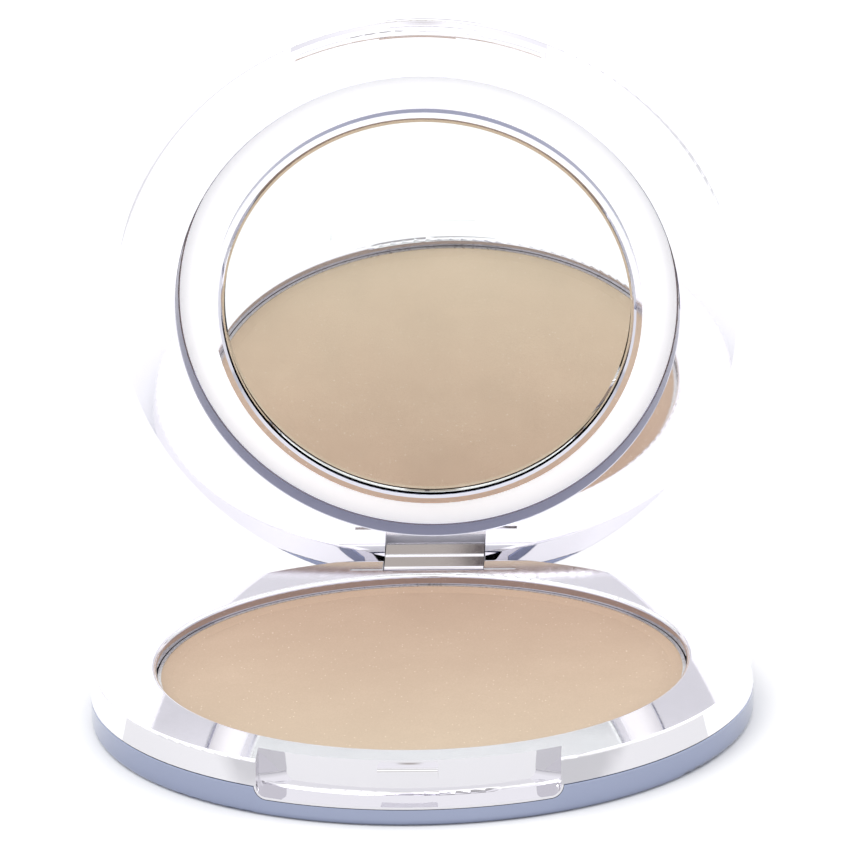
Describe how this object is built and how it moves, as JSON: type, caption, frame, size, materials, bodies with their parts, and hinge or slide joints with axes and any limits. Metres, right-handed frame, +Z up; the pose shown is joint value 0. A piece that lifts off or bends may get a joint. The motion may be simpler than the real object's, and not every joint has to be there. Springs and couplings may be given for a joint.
{
  "type": "powder compact",
  "caption": "Round mirrored compact that opens on a rear hinge: pressed powder in the base, a round mirror in the lid, a thumb recess in front.",
  "frame": {"origin": "centre of the flat face that the compact rests on, on the base's axis", "axes": "+Z up, -Y towards the thumb recess at the front, +Y towards the hinge"},
  "size_m": [0.077, 0.0811, 0.0765],
  "materials": {
    "metallised": "mirror-bright vacuum metallised plastic",
    "metallised_blue": "mirror-bright metallised plastic with a cool blue-grey tint",
    "pan_metal": "satin pressed sheet",
    "powder": "pressed powder with fine shimmer; stands in for powder",
    "tape": "double-sided adhesive disc",
    "glass": "clear polished",
    "silvering": "silver with a grey backing paint",
    "pin_steel": "drawn wire"
  },
  "bodies": {
    "base": {"base_shell": "metallised_blue", "base_deck": "metallised", "powder_pan": "pan_metal", "powder_cake": "powder", "pan_adhesive": "tape", "hinge_pin": "pin_steel"},
    "lid": {"lid_cover": "metallised", "lid_frame": "metallised", "mirror_glass": "glass", "mirror_silvering": "silvering", "mirror_adhesive": "tape"}
  },
  "joints": [
    {"name": "lid_hinge", "type": "hinge", "parent": "base", "child": "lid", "pos_m": [0, 0.0358, 0.00333], "axis": [1, 0, 0], "range_deg": [-15, 79.8]}
  ]
}
